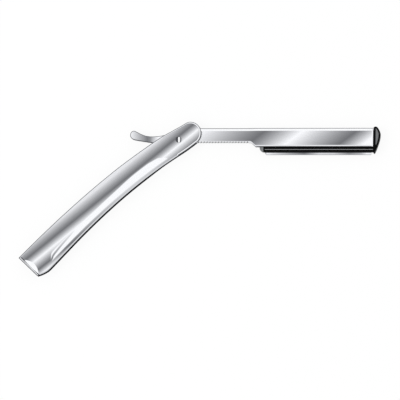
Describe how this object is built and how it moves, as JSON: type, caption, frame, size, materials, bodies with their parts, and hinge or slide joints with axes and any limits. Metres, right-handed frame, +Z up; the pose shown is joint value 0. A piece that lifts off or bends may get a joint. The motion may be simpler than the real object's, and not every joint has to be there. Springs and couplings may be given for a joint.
{
  "type": "shaving razor",
  "caption": "Folding barber's razor, open: a folded steel handle, a steel arm with a finger tang and notched shank, and a slide-out carrier that holds a long replaceable blade.",
  "frame": {"origin": "under the middle of the razor's box, on the surface that it lies on", "axes": "+Z up through the razor's thickness, +X along the length from the handle's butt to the cap at the arm's tip, +Y towards the convex back of the handle"},
  "size_m": [0.2074, 0.1026, 0.0086],
  "materials": {
    "polished_steel": "mirror-polished stainless sheet",
    "arm_steel": "polished stainless sheet",
    "blade_steel": "bright ground steel",
    "bearing_brass": "machined",
    "black_plastic": "moulded black plastic, satin"
  },
  "bodies": {
    "handle": {"handle_shell": "polished_steel", "pivot_rivet": "arm_steel", "pivot_bush": "bearing_brass", "pivot_washer_upper": "bearing_brass", "pivot_washer_lower": "bearing_brass"},
    "arm": {"blade_arm": "arm_steel"},
    "carrier": {"blade_carrier": "black_plastic", "carrier_cap": "black_plastic", "razor_blade": "blade_steel"}
  },
  "joints": [
    {"name": "arm_pivot", "type": "hinge", "parent": "handle", "child": "arm", "pos_m": [0.01161, 0.02909, 0.0043], "axis": [0, 0, 1], "range_deg": [-137.5, 184]},
    {"name": "carrier_slide", "type": "slide", "parent": "arm", "child": "carrier", "axis": [0.7559, -0.6547, 0], "range_m": [0, 0.067]}
  ]
}
